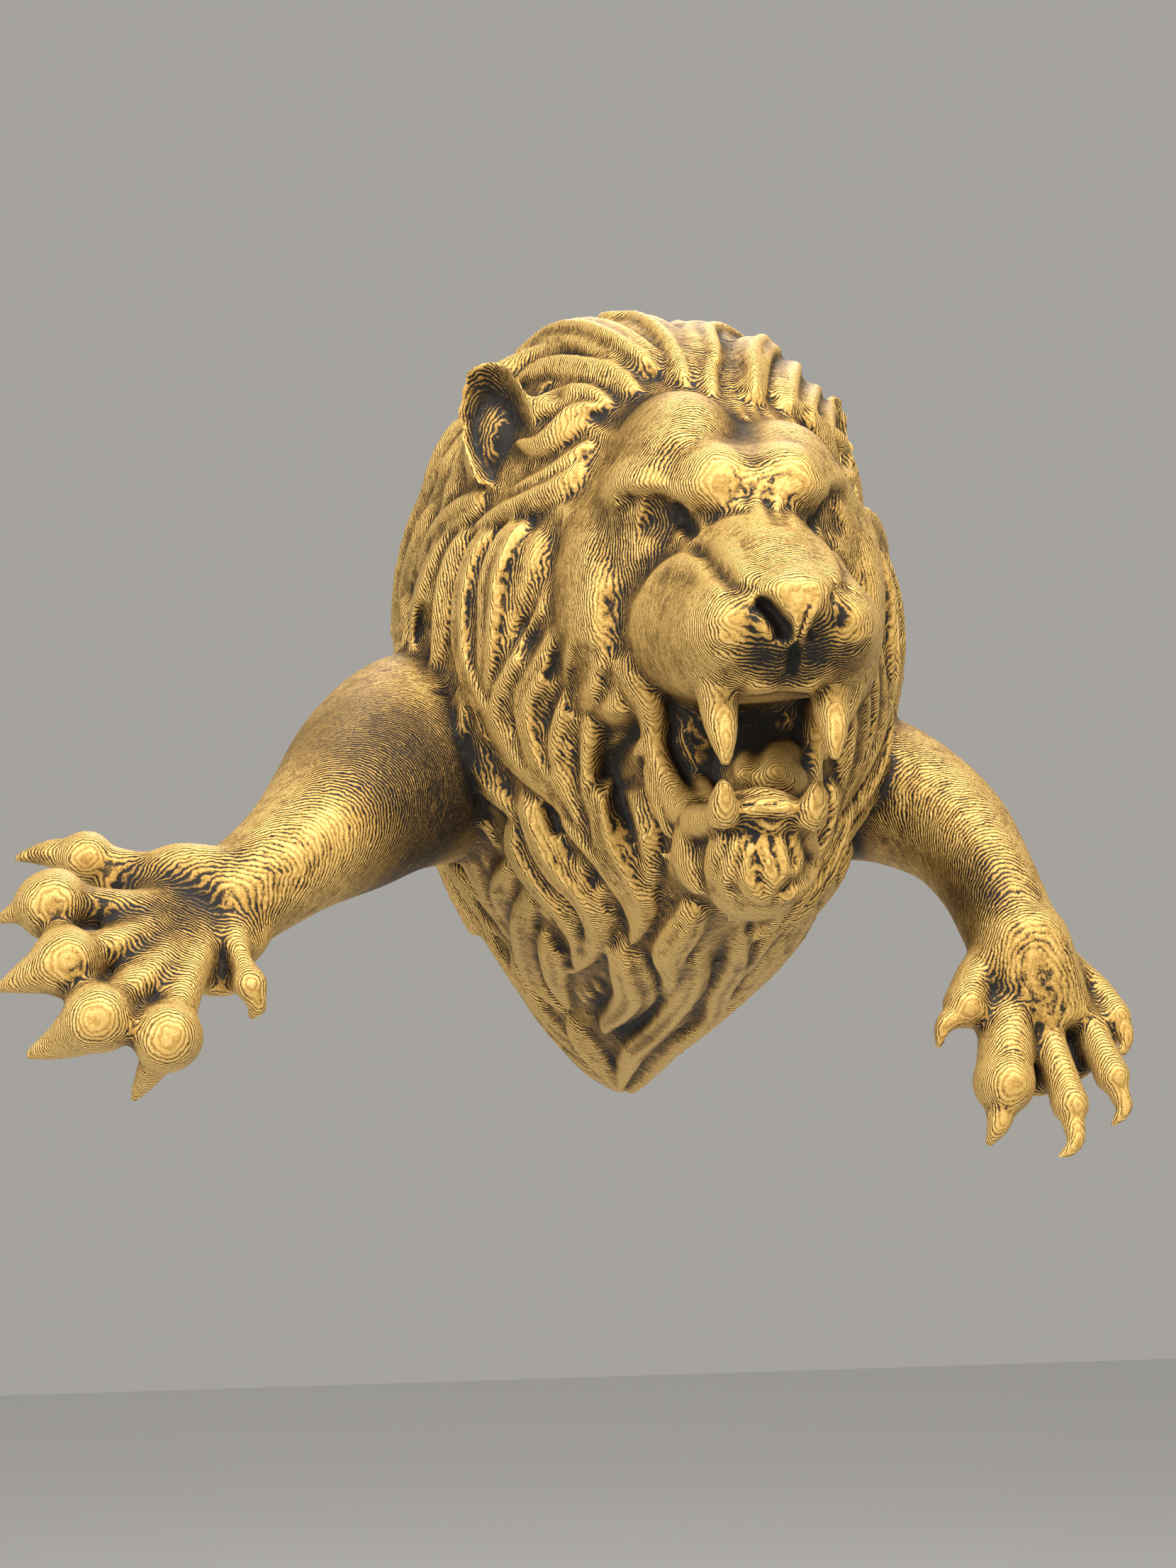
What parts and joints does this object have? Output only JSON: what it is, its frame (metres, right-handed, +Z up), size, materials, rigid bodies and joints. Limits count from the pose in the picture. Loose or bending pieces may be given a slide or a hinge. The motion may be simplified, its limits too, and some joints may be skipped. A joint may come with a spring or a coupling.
{
  "type": "lion wall sculpture",
  "caption": "Roaring lion's head with a full carved mane and two reaching forelegs, one printed piece with a flat back that hangs on a wall.",
  "frame": {"origin": "on the flat back, behind the middle of the head", "axes": "+Z up, +Y into the wall, the lion faces -Y"},
  "size_m": [0.2566, 0.1577, 0.1991],
  "materials": {
    "gilded_print": "black base coat dry-brushed with old gold, fine printed layer lines"
  },
  "bodies": {
    "root": {"lion": "gilded_print"}
  },
  "joints": []
}
